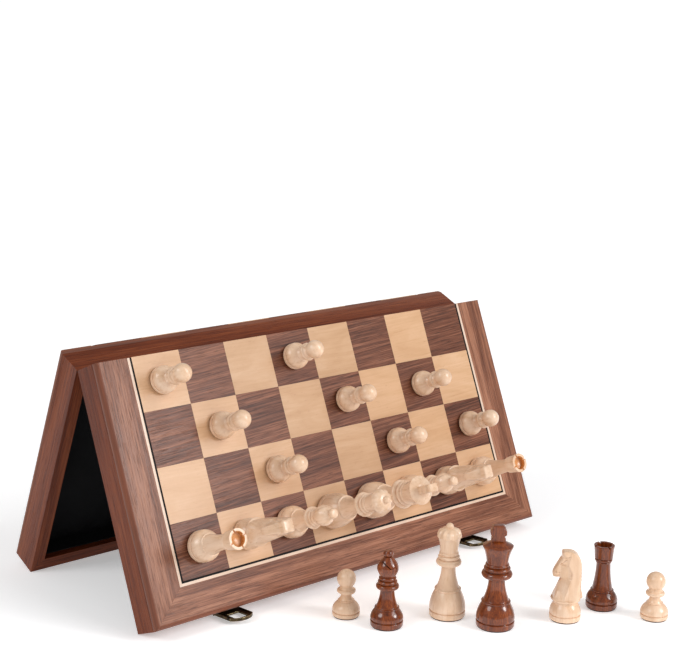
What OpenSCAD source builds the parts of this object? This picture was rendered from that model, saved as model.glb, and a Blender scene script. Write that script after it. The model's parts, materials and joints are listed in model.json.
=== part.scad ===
// Folding wooden chess board with its magnetic men.
// Two shallow half boxes are hinged at their rims and stand as a tent, playing faces outwards.
// +X runs along the files from a to h, -Y is the side of the light men, Z = 0 is the table.

/* [Playing field] */
// Side of one square
square_w = 40; // [38:1:42]
// Width of the light string round the field
light_string_w = 2; // [1:0.5:3]
// Width of the dark string inside the light one
dark_string_w = 1.5; // [1:0.5:3]

/* [Half box] */
// Depth of one half, from rim to playing face
half_depth = 25.5; // [24:0.5:30]
// From the field to the outside of an end wall
side_margin = 29.3; // [26:0.1:34]
// From the field to the outside of the latch wall
latch_margin = 28; // [26:0.5:34]
// Thickness of the walls
wall_t = 10; // [8:0.5:12]
// Thickness of the panel under the field
panel_t = 6; // [4:0.5:7]
// Depth that the panel is let into the walls
rebate_w = 5; // [3:0.5:6]
// Radius along the outer edges of the playing face
edge_round = 3; // [2:0.5:4]
// Thickness of the veneers
veneer_t = 0.8; // [0.6:0.1:1]
// Thickness of the steel sheet that holds the magnets
steel_t = 0.5; // [0.4:0.1:0.8]
// Thickness of the lining
lining_t = 0.8; // [0.5:0.1:1]
// Bare wall between the lining and the rim
lining_stop = 5; // [3:1:8]

/* [Fold] */
// Angle of each half from the vertical
tent_angle = 22.9; // [18:0.1:30]
// From the hinge axis to the rim plane
rim_gap = 0.25; // [0.2:0.05:0.5]
// From the hinge axis to the ridge wall
ridge_gap = 0.5; // [0.3:0.1:0.8]

/* [Hinges] */
// Distance of each hinge from the middle
hinge_x = 115; // [90:5:130]
// Length of a hinge
hinge_len = 32; // [24:2:40]
// Width of a leaf
leaf_w = 9; // [7:0.5:9.5]
// Thickness of a leaf
leaf_t = 1; // [0.8:0.1:1.4]
// Outer radius of the knuckles
knuckle_r = 2.2; // [1.9:0.1:2.4]
// Radius of a hinge pin
hinge_pin_r = 1; // [0.8:0.1:1.2]

/* [Catches] */
// Distance of each catch from the middle
catch_x = 120; // [100:5:140]
// Width of the swinging loop
loop_w = 20; // [18:1:24]
// Length of the loop from its pivot
loop_len = 25; // [24:0.5:28]
// Thickness of the loop's metal
loop_t = 1.2; // [1:0.1:1.4]
// Width of the loop's window
window_w = 10.6; // [9:0.2:12]
// Swing of the open loops away from closed
loop_open = 162; // [150:1:165]

/* [Men] */
// Height of a king
king_h = 75; // [70:1:80]
// Height of a queen
queen_h = 70; // [64:1:74]
// Height of a bishop
bishop_h = 56; // [52:1:60]
// Height of a knight
knight_h = 52; // [48:1:56]
// Height of a rook
rook_h = 48; // [44:1:52]
// Height of a pawn
pawn_h = 35; // [32:1:38]
// Base diameter of a king
king_d = 27.5; // [26:0.5:30]
// Base diameter of a queen
queen_d = 26; // [24:0.5:28]
// Base diameter of a bishop
bishop_d = 23.5; // [22:0.5:26]
// Base diameter of a knight
knight_d = 22.5; // [21:0.5:25]
// Base diameter of a rook
rook_d = 23; // [21:0.5:25]
// Base diameter of a pawn
pawn_d = 20; // [18:0.5:22]
// Thickness of the felt under each man
felt_t = 1; // [0.5:0.1:1.5]

/* [Hidden] */
$fn = 64;
hair = 0.02;                  // gap that keeps neighbouring pieces separate solids
far = 300;                    // longer than the board, for cutting tools

walnut = "#7a5138";
walnut_field = "#6f4c3b";
maple = "#e6c79b";
boxwood = "#ecd3a8";
stained = "#6a2f17";
bronze = "#6d6046";
steel = "#b9bcbe";
black = "#17171a";

files = 8;
rows = 4;
field_w = files * square_w;
field_l = rows * square_w;
half_w = field_w / 2 + side_margin;
ridge_u = ridge_gap;                               // distances down a slope, from the hinge axis
latch_u = ridge_u + field_l + latch_margin;
rim_w = rim_gap;                                   // heights above a half's rim plane
face_w = rim_w + half_depth;
ground_w = face_w - veneer_t;                      // top of the panel, under the veneers
panel_w = ground_w - panel_t;
hollow_x = half_w - wall_t;
hollow_u0 = ridge_u + wall_t;
hollow_u1 = latch_u - wall_t;
inner_border = field_w / 2 + dark_string_w + light_string_w;

// Hinge axis: high enough for the latch edges to stand on the table
hinge_z = latch_u * cos(tent_angle) - rim_w * sin(tent_angle);

knuckle_gap = 0.2;
pin_clearance = 0.05;
relief_r = knuckle_r + 0.3;
knuckle_end = hinge_len * 0.27;                    // length of an outer knuckle

catch_pin_r = 0.5;
catch_knuckle_r = 1.2;
plate_t = 0.5;                                     // catch plates, and how far they stay off
plate_from = 1.4;                                  // the rim, so that they clear the table
pivot_s = 6.8;                                     // pivot of a loop, above the rim
pivot_out = 1.3;                                   // and out from the latch wall
ear_gap = 0.1;
centre_knuckle = window_w / 2 - 0.4;               // half length of the fixed knuckle
window_from = 9.3;                                 // window of the loop, from its pivot
window_to = loop_len - 4;
end_r = 12.5;                                      // radius of the loop's round end
flange_h = 1;
flange_t = 0.9;
flange_from = 2.5;                                 // flanges start this far from the pivot
keeper_gap = 0.45;
keeper_h = 3;

man_gap = 0.05;                                    // between a felt and its square
magnet_h = 3.4;
slit_turn = 215;                                   // bishops on the board: saw cuts face up

// Standing places on the table, in front of the tent, from the middle and the hinge axis
view_turn = -41;
STANDING = [
    ["light_pawn_standing_left", "pawn", boxwood, -55, -138],
    ["dark_bishop_standing", "bishop", stained, -44, -169],
    ["light_queen_standing", "queen", boxwood, 2, -183],
    ["dark_king_standing", "king", stained, 16, -217],
    ["light_knight_standing", "knight", boxwood, 64, -240],
    ["dark_rook_standing", "rook", stained, 102, -242],
    ["light_pawn_standing_right", "pawn", boxwood, 116, -279],
];

// Men on the board: kind, file 0 to 7 for a to h, and row 0 at the ridge to 3 at the latch edge
FILE = "abcdefgh";
LIGHT_PAWN_ROWS = [0, 1, 2, 0, 1, 2, 1, 2];
DARK_PAWN_ROWS = [1, 2, 1, 2, 1, 2, 1, 2];          // none beside the ridge, where it would show over it
LIGHT_OFFICERS = ["rook", "knight", "bishop", "queen", "king", "bishop", "knight", "rook"];
DARK_OFFICERS = ["rook", "knight", "bishop", "", "queen", "", "knight", ""];
LIGHT = concat(
    [for (f = [0:7]) [LIGHT_OFFICERS[f], f, 3]],
    [for (f = [0:7]) ["pawn", f, LIGHT_PAWN_ROWS[f]]]
);
DARK = concat(
    [for (f = [0:7]) if (DARK_OFFICERS[f] != "") [DARK_OFFICERS[f], f, 3]],
    [for (f = [0:7]) ["pawn", f, DARK_PAWN_ROWS[f]]]
);
function light_name(m) = str("light_", m[0], "_", FILE[m[1]], 4 - m[2]);
function dark_name(m) = str("dark_", m[0], "_", FILE[m[1]], 5 + m[2]);

// The part's origin is the middle of its box on the table
front_reach = STANDING[6][4] - pawn_d / 2;
queen_ball_r = 0.21 * queen_d / 2;
back_reach = (ridge_u + 3.5 * square_w) * sin(tent_angle)
    + (face_w + man_gap + queen_h - queen_ball_r) * cos(tent_angle) + queen_ball_r;
hinge_y = -(front_reach + back_reach) / 2;

// ---------- places ----------

// A half's own frame: hinge axis at the origin, -Y down the slope, Z out of the playing face
module on_front() {
    translate([0, hinge_y, hinge_z]) rotate([90 - tent_angle, 0, 0]) children();
}

module on_back() {
    translate([0, hinge_y, hinge_z]) mirror([0, 1, 0]) rotate([90 - tent_angle, 0, 0]) children();
}

module each_hinge() {
    for (x = [-hinge_x, hinge_x]) translate([x, 0, 0]) children();
}

// Frame of a catch: origin on the latch wall at the rim, -Y out of the wall, Z towards the face
module at_catch(x) {
    translate([x, -latch_u, rim_w]) children();
}

// ---------- half box ----------

// Box between two corners given as x, distance down the slope and height above the hinge plane
module slab(x0, x1, u0, u1, w0, w1) {
    translate([x0, -u1, w0]) cube([x1 - x0, u1 - u0, w1 - w0]);
}

module round_top(from, to, top, both) {
    translate([from, rim_w]) square([to - from, top - rim_w - edge_round]);
    translate([both ? from + edge_round : from, rim_w])
        square([to - from - (both ? 2 : 1) * edge_round, top - rim_w]);
    translate([to - edge_round, top - edge_round]) circle(edge_round);
    if (both) translate([from + edge_round, top - edge_round]) circle(edge_round);
}

// Whole outline of a half: face edges rounded at both ends and along the latch wall
module half_block() {
    intersection() {
        translate([0, -ridge_u, 0]) rotate([90, 0, 0])
            linear_extrude(latch_u - ridge_u) round_top(-half_w, half_w, face_w, true);
        translate([-half_w, 0, 0]) rotate([90, 0, 90]) mirror([1, 0, 0])
            linear_extrude(2 * half_w) round_top(ridge_u, latch_u, face_w, false);
    }
}

// Plan of one wall: its ends are mitred, and a hair short of the mitre planes
module wall_plan(side) {
    t = wall_t;
    x = half_w;
    if (side == "latch")
        polygon([[-x + hair, -latch_u], [x - hair, -latch_u],
                 [x - t - hair, -latch_u + t], [-x + t + hair, -latch_u + t]]);
    if (side == "ridge")
        polygon([[-x + hair, -ridge_u], [x - hair, -ridge_u],
                 [x - t - hair, -ridge_u - t], [-x + t + hair, -ridge_u - t]]);
    if (side == "left")
        polygon([[-x, -ridge_u], [-x, -latch_u], [-x + t, -latch_u + t], [-x + t, -ridge_u - t]]);
    if (side == "right")
        polygon([[x, -ridge_u], [x, -latch_u], [x - t, -latch_u + t], [x - t, -ridge_u - t]]);
}

module walls() {
    color(walnut)
    for (side = ["latch", "ridge", "left", "right"])
        difference() {
            intersection() {
                half_block();
                linear_extrude(far) wall_plan(side);
            }
            // rebate of the panel, and the bed of the veneers
            slab(-hollow_x - rebate_w, hollow_x + rebate_w, hollow_u0 - rebate_w,
                 hollow_u1 + rebate_w, panel_w, far);
            slab(-half_w + edge_round, half_w - edge_round, 0, latch_u - edge_round, ground_w, far);
            if (side == "ridge") each_hinge() {
                slab(-hinge_len / 2, hinge_len / 2, 0, leaf_w, 0, rim_w + leaf_t);
                rotate([0, 90, 0]) cylinder(r = relief_r, h = hinge_len + 0.4, center = true);
            }
        }
}

module panel() {
    color(maple)
    difference() {
        slab(-hollow_x - rebate_w, hollow_x + rebate_w, hollow_u0 - rebate_w,
             hollow_u1 + rebate_w, panel_w, ground_w);
        slab(-field_w / 2, field_w / 2, 0, ridge_u + field_l, ground_w - steel_t, far);
    }
}

module steel_sheet() {
    color(steel)
        slab(-field_w / 2, field_w / 2, hollow_u0 - rebate_w, ridge_u + field_l,
             ground_w - steel_t, ground_w);
}

// A frame of three mitred strips round the field, open at the ridge
module strip_frame(inner, width) {
    outer = inner + width;
    u0 = ridge_u + field_l + inner - field_w / 2;
    u1 = u0 + width;
    for (s = [-1, 1])
        translate([0, 0, ground_w]) linear_extrude(veneer_t)
            polygon([[s * inner, -ridge_u], [s * outer, -ridge_u],
                     [s * outer, -u1 + hair], [s * inner, -u0 + hair]]);
    translate([0, 0, ground_w]) linear_extrude(veneer_t)
        polygon([[-inner + hair, -u0], [inner - hair, -u0],
                 [outer - hair, -u1], [-outer + hair, -u1]]);
}

// The border is wider at the ends than along the latch wall
module border() {
    x0 = inner_border;
    x1 = half_w - edge_round;
    u0 = ridge_u + field_l + dark_string_w + light_string_w;
    u1 = latch_u - edge_round;
    color(walnut) {
        for (s = [-1, 1])
            translate([0, 0, ground_w]) linear_extrude(veneer_t)
                polygon([[s * x0, -ridge_u], [s * x1, -ridge_u],
                         [s * x1, -u1 + hair], [s * x0, -u0 + hair]]);
        translate([0, 0, ground_w]) linear_extrude(veneer_t)
            polygon([[-x0 + hair, -u0], [x0 - hair, -u0], [x1 - hair, -u1], [-x1 + hair, -u1]]);
    }
}

module strings() {
    color(black) strip_frame(field_w / 2, dark_string_w - hair);
    color(maple) strip_frame(field_w / 2 + dark_string_w, light_string_w);
}

// Every second square; parity 0 takes the corner square at the ridge on file a
module squares(parity, tint) {
    color(tint)
    for (f = [0 : files - 1], r = [0 : rows - 1])
        if ((f + r) % 2 == parity)
            translate([f * square_w - field_w / 2, -ridge_u - (r + 1) * square_w, ground_w])
                cube([square_w - hair, square_w - hair, veneer_t]);
}

// Felt tray over the panel and down the walls, short of the rim
module lining() {
    color(black)
    difference() {
        slab(-hollow_x, hollow_x, hollow_u0, hollow_u1, rim_w + lining_stop, panel_w);
        slab(-hollow_x + lining_t, hollow_x - lining_t, hollow_u0 + lining_t,
             hollow_u1 - lining_t, 0, panel_w - lining_t);
    }
}

// ---------- hinges ----------

module barrel(from, to) {
    translate([from, 0, 0]) rotate([0, 90, 0])
        difference() {
            cylinder(r = knuckle_r, h = to - from);
            translate([0, 0, -1]) cylinder(r = hinge_pin_r + pin_clearance, h = to - from + 2);
        }
}

// A leaf lies in the ridge wall's rim; its knuckles fill the given stretches
module leaf(stretches, cuts) {
    color(bronze)
    difference() {
        union() {
            slab(-hinge_len / 2, hinge_len / 2, 0, leaf_w, rim_w, rim_w + leaf_t);
            for (k = stretches) barrel(k[0], k[1]);
        }
        for (k = cuts)
            translate([k[0] - knuckle_gap, 0, 0]) rotate([0, 90, 0])
                cylinder(r = relief_r, h = k[1] - k[0] + 2 * knuckle_gap);
        rotate([0, 90, 0])
            cylinder(r = hinge_pin_r + pin_clearance, h = hinge_len + 2, center = true);
    }
}

OUTER_KNUCKLES = [[-hinge_len / 2, -hinge_len / 2 + knuckle_end],
                  [hinge_len / 2 - knuckle_end, hinge_len / 2]];
INNER_KNUCKLE = [[-hinge_len / 2 + knuckle_end + knuckle_gap,
                  hinge_len / 2 - knuckle_end - knuckle_gap]];

module pin_pair() {
    color(steel) each_hinge()
        rotate([0, 90, 0]) cylinder(r = hinge_pin_r, h = hinge_len, center = true);
}

// ---------- catches ----------

// Plate nailed to the front half, with the fixed knuckle of the loop
module catch_plate() {
    color(bronze)
    difference() {
        union() {
            translate([-loop_w / 2 + 0.5, -plate_t, plate_from])
                cube([loop_w - 1, plate_t, pivot_s + catch_knuckle_r - plate_from]);
            translate([-centre_knuckle, -pivot_out, pivot_s])
                cube([2 * centre_knuckle, pivot_out, catch_knuckle_r]);
            translate([0, -pivot_out, pivot_s]) rotate([0, 90, 0])
                cylinder(r = catch_knuckle_r, h = 2 * centre_knuckle, center = true);
        }
        translate([0, -pivot_out, pivot_s]) rotate([0, 90, 0])
            cylinder(r = catch_pin_r + pin_clearance, h = far, center = true);
        // room for the loop's two knuckles
        for (s = [-1, 1])
            translate([s * (centre_knuckle + ear_gap + far / 2), -pivot_out, pivot_s])
                rotate([0, 90, 0])
                    cylinder(r = catch_knuckle_r + 0.1, h = far, center = true);
    }
}

module catch_pin() {
    color(steel) translate([0, -pivot_out, pivot_s]) rotate([0, 90, 0])
        cylinder(r = catch_pin_r, h = loop_w - 0.8, center = true);
}

// Outline of the loop, pivot at the top, drawn inwards by an inset
module loop_outline(inset) {
    half = loop_w / 2 - inset;
    r = end_r - inset;
    centre = loop_len - end_r;
    translate([-half, -centre]) square([2 * half, centre]);
    intersection() {
        translate([-half, -loop_len]) square([2 * half, loop_len]);
        translate([0, -centre]) circle(r);
    }
}

// The loop hangs along -Z from its pivot, its flanges towards -Y
module loop() {
    color(bronze)
    difference() {
        union() {
            translate([0, loop_t / 2, 0]) rotate([90, 0, 0]) linear_extrude(loop_t) loop_outline(0);
            translate([0, -loop_t / 2, 0]) rotate([90, 0, 0]) linear_extrude(flange_h)
                difference() {
                    loop_outline(0);
                    loop_outline(flange_t);
                    square([loop_w + 1, 2 * flange_from], center = true);
                }
            for (s = [-1, 1])
                translate([s * (centre_knuckle + ear_gap + loop_w / 2) / 2, 0, 0])
                    rotate([0, 90, 0])
                        cylinder(r = catch_knuckle_r,
                                 h = loop_w / 2 - centre_knuckle - ear_gap, center = true);
        }
        rotate([0, 90, 0]) cylinder(r = catch_pin_r + pin_clearance, h = far, center = true);
        // room for the fixed knuckle, and the window
        rotate([0, 90, 0])
            cylinder(r = catch_knuckle_r + 0.3, h = 2 * (centre_knuckle + ear_gap), center = true);
        translate([-window_w / 2, -3, -window_to]) cube([window_w, 6, window_to - window_from]);
    }
}

module swung_loop(x) {
    at_catch(x) translate([0, -pivot_out, pivot_s]) rotate([-loop_open, 0, 0]) loop();
}

// Keeper on the back half: its ramped block fills the window of the closed loop
module keeper() {
    from = window_from - pivot_s + keeper_gap - 2 * rim_gap;
    to = window_to - pivot_s - keeper_gap - 2 * rim_gap;
    block_w = window_w - 2 * keeper_gap;
    crest = from + 4.6;
    color(bronze) {
        translate([-loop_w / 2 + 2, -plate_t, plate_from])
            cube([loop_w - 4, plate_t, to + 1.4 - plate_from]);
        translate([-block_w / 2, 0, 0]) rotate([90, 0, 90]) linear_extrude(block_w)
            polygon([[0, from], [-1, from], [-keeper_h, crest], [-keeper_h, to], [0, to]]);
    }
}

// ---------- men ----------

// Parts of a turned outline, as points [radius, height], going up
function bell(r0, r1, z0, z1, n = 8) =
    [for (i = [0:n]) let (t = i / n) [r1 + (r0 - r1) * (1 - t * t), z0 + (z1 - z0) * t]];
function taper(r0, r1, z0, z1, n = 7) =
    [for (i = [0:n]) let (t = i / n) [r1 + (r0 - r1) * pow(1 - t, 2), z0 + (z1 - z0) * t]];
function flare(r0, r1, z0, z1, n = 6) =
    [for (i = [0:n]) let (t = i / n) [r0 + (r1 - r0) * pow(t, 1.7), z0 + (z1 - z0) * t]];
function bead(r, b, z0, z1, n = 6) =
    [for (i = [0:n]) let (a = 180 * i / n)
        [r - b + b * sin(a), (z0 + z1) / 2 - (z1 - z0) / 2 * cos(a)]];

// Foot shared by all the men: plinth, groove and bell, up to the lip
function foot(r, plinth, bell_z, bell_r) = concat(
    [[r - 0.3, felt_t], [r, felt_t + 0.4], [r, plinth - 0.3], [r - 0.5, plinth],
     [r - 0.5, plinth + 0.3], [r - 0.1, plinth + 1]],
    bell(r, bell_r, plinth + 1.6, bell_z)
);

// A turned man: wooden body with a magnet in its foot, and a felt under it
module turned(outline, r, top, tint) {
    magnet_r = 0.45 * r;
    color(tint)
        difference() {
            rotate_extrude() polygon(concat([[0, felt_t]], outline, [[0, top]]));
            translate([0, 0, felt_t - 1]) cylinder(r = magnet_r + hair, h = magnet_h + 1.1);
        }
    color(steel) translate([0, 0, felt_t + hair]) cylinder(r = magnet_r, h = magnet_h);
    color("#3b2416") cylinder(r = r - 0.8, h = felt_t - hair);
}

module pawn(tint) {
    r = pawn_d / 2;
    h = pawn_h;
    head = 0.197 * h;
    turned(concat(
        foot(r, 0.105 * h, 0.335 * h, 0.58 * r),
        bead(0.60 * r, 0.4, 0.338 * h, 0.36 * h),
        taper(0.52 * r, 0.37 * r, 0.365 * h, 0.49 * h),
        bead(0.68 * r, 1.5, 0.505 * h, 0.595 * h),
        [for (a = [-50 : 20 : 90]) [head * cos(a), h - head + head * sin(a)]]
    ), r, h, tint);
}

module rook(tint) {
    r = rook_d / 2;
    h = rook_h;
    difference() {
        turned(concat(
            foot(r, 0.10 * h, 0.275 * h, 0.70 * r),
            bead(0.735 * r, 0.6, 0.278 * h, 0.297 * h),
            taper(0.66 * r, 0.45 * r, 0.30 * h, 0.72 * h),
            bead(0.50 * r, 0.5, 0.725 * h, 0.745 * h),
            bead(0.56 * r, 0.8, 0.748 * h, 0.79 * h),
            flare(0.58 * r, 0.66 * r, 0.80 * h, h)
        ), r, h, tint);
        translate([0, 0, 0.91 * h]) cylinder(r = 0.46 * r, h = h);
        for (a = [20, 110])
            rotate([0, 0, a]) translate([-h, -0.055 * r, 0.977 * h]) cube([2 * h, 0.11 * r, h]);
    }
}

module bishop(tint) {
    r = bishop_d / 2;
    h = bishop_h;
    difference() {
        turned(concat(
            foot(r, 0.085 * h, 0.24 * h, 0.70 * r),
            bead(0.75 * r, 0.6, 0.243 * h, 0.26 * h),
            taper(0.66 * r, 0.43 * r, 0.265 * h, 0.495 * h),
            bead(0.70 * r, 1.8, 0.50 * h, 0.565 * h),
            bead(0.59 * r, 0.9, 0.572 * h, 0.612 * h),
            bead(0.53 * r, 0.9, 0.62 * h, 0.66 * h),
            [for (t = [0:6]) [(0.47 + 0.18 * sin(15 * t)) * r, (0.668 + 0.017 * t) * h]],
            [for (t = [1:6]) [(0.25 + 0.40 * cos(15 * t)) * r, (0.77 + 0.025 * t) * h]],
            bead(0.31 * r, 1.6, 0.925 * h, h)
        ), r, h, tint);
        // saw cut in the mitre
        translate([0, 0, 0.77 * h]) rotate([0, 32, 0])
            translate([-0.45 * r, -r, 0]) cube([0.9 * r, 0.75 * r, 0.9]);
    }
}

module queen(tint) {
    r = queen_d / 2;
    h = queen_h;
    scallops = 10;
    ball_z = h - queen_ball_r;
    difference() {
        turned(concat(
            foot(r, 0.07 * h, 0.288 * h, 0.70 * r),
            bead(0.735 * r, 0.6, 0.291 * h, 0.308 * h),
            taper(0.64 * r, 0.38 * r, 0.312 * h, 0.55 * h),
            bead(0.70 * r, 2.2, 0.556 * h, 0.62 * h),
            bead(0.60 * r, 1, 0.626 * h, 0.66 * h),
            bead(0.54 * r, 0.8, 0.665 * h, 0.695 * h),
            flare(0.49 * r, 0.60 * r, 0.70 * h, 0.835 * h),
            [[0.69 * r, 0.86 * h], [0.69 * r, 0.885 * h]],
            [for (a = [0:15:75]) [(0.19 + 0.47 * cos(a)) * r, (0.887 + 0.06 * sin(a)) * h]],
            [for (a = [-18 : 18 : 90]) [queen_ball_r * cos(a), ball_z + queen_ball_r * sin(a)]]
        ), r, h, tint);
        for (i = [1:scallops])
            rotate([0, 0, 360 * i / scallops]) translate([0, 0, 0.905 * h]) rotate([0, 90, 0])
                translate([0, 0, 0.52 * r]) cylinder(r = 0.14 * r, h = r);
    }
}

module king(tint) {
    r = king_d / 2;
    h = king_h;
    neck = 0.842 * h;
    turned(concat(
        foot(r, 0.065 * h, 0.243 * h, 0.72 * r),
        bead(0.76 * r, 0.6, 0.246 * h, 0.262 * h),
        taper(0.67 * r, 0.42 * r, 0.267 * h, 0.485 * h),
        bead(0.80 * r, 2.6, 0.49 * h, 0.555 * h),
        bead(0.69 * r, 1.2, 0.561 * h, 0.596 * h),
        bead(0.61 * r, 0.8, 0.602 * h, 0.63 * h),
        flare(0.56 * r, 0.79 * r, 0.637 * h, 0.795 * h),
        [[0.79 * r, 0.803 * h], [0.40 * r, neck - 0.4], [0.36 * r, neck]]
    ), r, neck, tint);
    // cross with broad arms, cut from the block above the neck
    cross = [[4.9, 0], [4.9, 2.8], [3.8, 4.2], [5.6, 5.2], [5.6, 8.4], [3.7, 9.6], [4.8, 10.6]];
    rise = (h - neck) / 11.8;
    color(tint) translate([0, 0, neck]) scale(rise) rotate([90, 0, 0])
        linear_extrude(6, center = true)
            polygon(concat([for (p = cross) p], [[2.5, 11.8], [-2.5, 11.8]],
                           [for (i = [6 : -1 : 0]) [-cross[i][0], cross[i][1]]]));
}

// The head is a sawn side outline, narrowed by a front outline
module knight(tint) {
    r = knight_d / 2;
    h = knight_h;
    seat = 0.315 * h;
    k = r / 11.25;
    turned(concat(
        foot(r, 0.085 * h, 0.25 * h, 0.77 * r),
        flare(0.76 * r, 0.93 * r, 0.27 * h, 0.30 * h),
        [[0.93 * r, seat]]
    ), r, seat, tint);
    side = [[-10.3, 0], [-8.7, 5], [-6.3, 11], [-4.6, 14.8], [-2, 16.8], [-4, 17.5], [-9.6, 17.6],
            [-10.1, 20], [-9.1, 23.7], [-6.6, 27.6], [-4.8, 31.1], [-4.1, 34], [-3.3, 35.6],
            [-0.3, 36.4], [3.5, 35.6], [7, 32.9], [9.2, 28.4], [10.2, 22.4], [10.5, 14.6], [10.4, 0]];
    front = [[9.2, 0], [7.9, 9], [6.6, 18], [5.4, 27], [4.4, 36.4]];
    rise = (h - seat) / 36.4;
    color(tint) translate([0, 0, seat - hair])
        intersection() {
            rotate([90, 0, 0]) linear_extrude(4 * r, center = true)
                polygon([for (p = side) [p[0] * k, p[1] * rise]]);
            rotate([90, 0, 90]) linear_extrude(4 * r, center = true)
                polygon(concat([for (p = front) [p[0] * k, p[1] * rise]],
                               [for (i = [4 : -1 : 0]) [-front[i][0] * k, front[i][1] * rise]]));
        }
}

module man(kind, tint) {
    if (kind == "pawn") pawn(tint);
    if (kind == "rook") rook(tint);
    if (kind == "knight") knight(tint);
    if (kind == "bishop") bishop(tint);
    if (kind == "queen") queen(tint);
    if (kind == "king") king(tint);
}

module man_on_square(m, tint) {
    translate([(m[1] + 0.5) * square_w - field_w / 2,
               -ridge_u - (m[2] + 0.5) * square_w, face_w + man_gap])
        rotate([0, 0, m[0] == "bishop" ? slit_turn : 0])
            man(m[0], tint);
}

// ---------- nodes ----------

module front_walls() { on_front() walls(); }
module front_panel() { on_front() panel(); }
module front_steel_sheet() { on_front() steel_sheet(); }
module front_border() { on_front() border(); }
module front_strings() { on_front() strings(); }
module front_light_squares() { on_front() squares(0, maple); }
module front_dark_squares() { on_front() squares(1, walnut_field); }
module front_lining() { on_front() lining(); }
module back_walls() { on_back() walls(); }
module back_panel() { on_back() panel(); }
module back_steel_sheet() { on_back() steel_sheet(); }
module back_border() { on_back() border(); }
module back_strings() { on_back() strings(); }
module back_light_squares() { on_back() squares(1, maple); }
module back_dark_squares() { on_back() squares(0, walnut_field); }
module back_lining() { on_back() lining(); }
module front_hinge_leaves() { on_front() each_hinge() leaf(OUTER_KNUCKLES, INNER_KNUCKLE); }
module back_hinge_leaves() { on_back() each_hinge() leaf(INNER_KNUCKLE, OUTER_KNUCKLES); }
module hinge_pins() { on_front() pin_pair(); }
module catch_plates() { on_front() for (x = [-catch_x, catch_x]) at_catch(x) catch_plate(); }
module catch_pins() { on_front() for (x = [-catch_x, catch_x]) at_catch(x) catch_pin(); }
module left_catch_loop() { on_front() swung_loop(-catch_x); }
module right_catch_loop() { on_front() swung_loop(catch_x); }
module catch_keepers() { on_back() for (x = [-catch_x, catch_x]) at_catch(x) keeper(); }

front_walls();
front_panel();
front_steel_sheet();
front_border();
front_strings();
front_light_squares();
front_dark_squares();
front_lining();
back_walls();
back_panel();
back_steel_sheet();
back_border();
back_strings();
back_light_squares();
back_dark_squares();
back_lining();
front_hinge_leaves();
back_hinge_leaves();
hinge_pins();
catch_plates();
catch_pins();
left_catch_loop();
right_catch_loop();
catch_keepers();
for (m = LIGHT)
    on_front() man_on_square(m, boxwood);
for (m = DARK)
    on_back() man_on_square(m, stained);
for (m = STANDING)
    translate([m[3], hinge_y + m[4], 0]) rotate([0, 0, view_turn]) man(m[1], m[2]);
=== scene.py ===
import json
from math import acos, atan2, cos, degrees, pi, radians, sin, sqrt

import bmesh
import bpy
import numpy as np
from mathutils import Matrix, Vector, noise

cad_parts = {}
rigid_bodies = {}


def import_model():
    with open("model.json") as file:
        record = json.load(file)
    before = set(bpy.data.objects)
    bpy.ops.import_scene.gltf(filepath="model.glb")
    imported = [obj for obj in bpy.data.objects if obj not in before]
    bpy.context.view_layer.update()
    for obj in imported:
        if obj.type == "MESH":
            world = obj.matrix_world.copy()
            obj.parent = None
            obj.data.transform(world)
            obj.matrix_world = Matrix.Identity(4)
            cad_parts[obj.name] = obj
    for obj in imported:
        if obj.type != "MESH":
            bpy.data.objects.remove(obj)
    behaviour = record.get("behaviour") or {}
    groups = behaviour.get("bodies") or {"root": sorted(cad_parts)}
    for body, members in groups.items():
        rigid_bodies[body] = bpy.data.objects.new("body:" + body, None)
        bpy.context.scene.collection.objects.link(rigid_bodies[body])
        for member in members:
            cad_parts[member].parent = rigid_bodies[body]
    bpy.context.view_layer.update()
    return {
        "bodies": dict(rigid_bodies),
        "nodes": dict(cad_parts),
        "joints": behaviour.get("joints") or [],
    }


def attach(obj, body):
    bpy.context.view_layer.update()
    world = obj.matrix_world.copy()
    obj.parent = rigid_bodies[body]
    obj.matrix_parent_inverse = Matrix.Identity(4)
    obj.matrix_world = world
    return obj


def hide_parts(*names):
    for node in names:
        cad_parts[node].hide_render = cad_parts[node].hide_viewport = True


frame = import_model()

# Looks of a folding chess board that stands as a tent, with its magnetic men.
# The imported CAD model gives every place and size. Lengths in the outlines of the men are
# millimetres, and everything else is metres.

MM = 0.001
SCENE = bpy.context.scene
NODES = frame["nodes"]

# ---------- camera ----------

CAMERA_AT = (-0.7317, -0.8304, 0.4365)
CAMERA_AZIMUTH = -41.015
CAMERA_DOWN = 12.447
CAMERA_ROLL = 1.05
CAMERA_LENS = 80.82


def add_camera():
    data = bpy.data.cameras.new("camera")
    data.lens = CAMERA_LENS
    data.sensor_width = 36
    camera = bpy.data.objects.new("camera", data)
    SCENE.collection.objects.link(camera)
    turn = Matrix.Rotation(radians(CAMERA_AZIMUTH), 4, "Z")
    turn = turn @ Matrix.Rotation(radians(90 - CAMERA_DOWN), 4, "X")
    turn = turn @ Matrix.Rotation(radians(CAMERA_ROLL), 4, "Z")
    camera.matrix_world = Matrix.Translation(CAMERA_AT) @ turn
    SCENE.camera = camera


add_camera()

# ---------- the two halves ----------

JOINTS = {joint["name"]: joint for joint in frame["joints"]}


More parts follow.
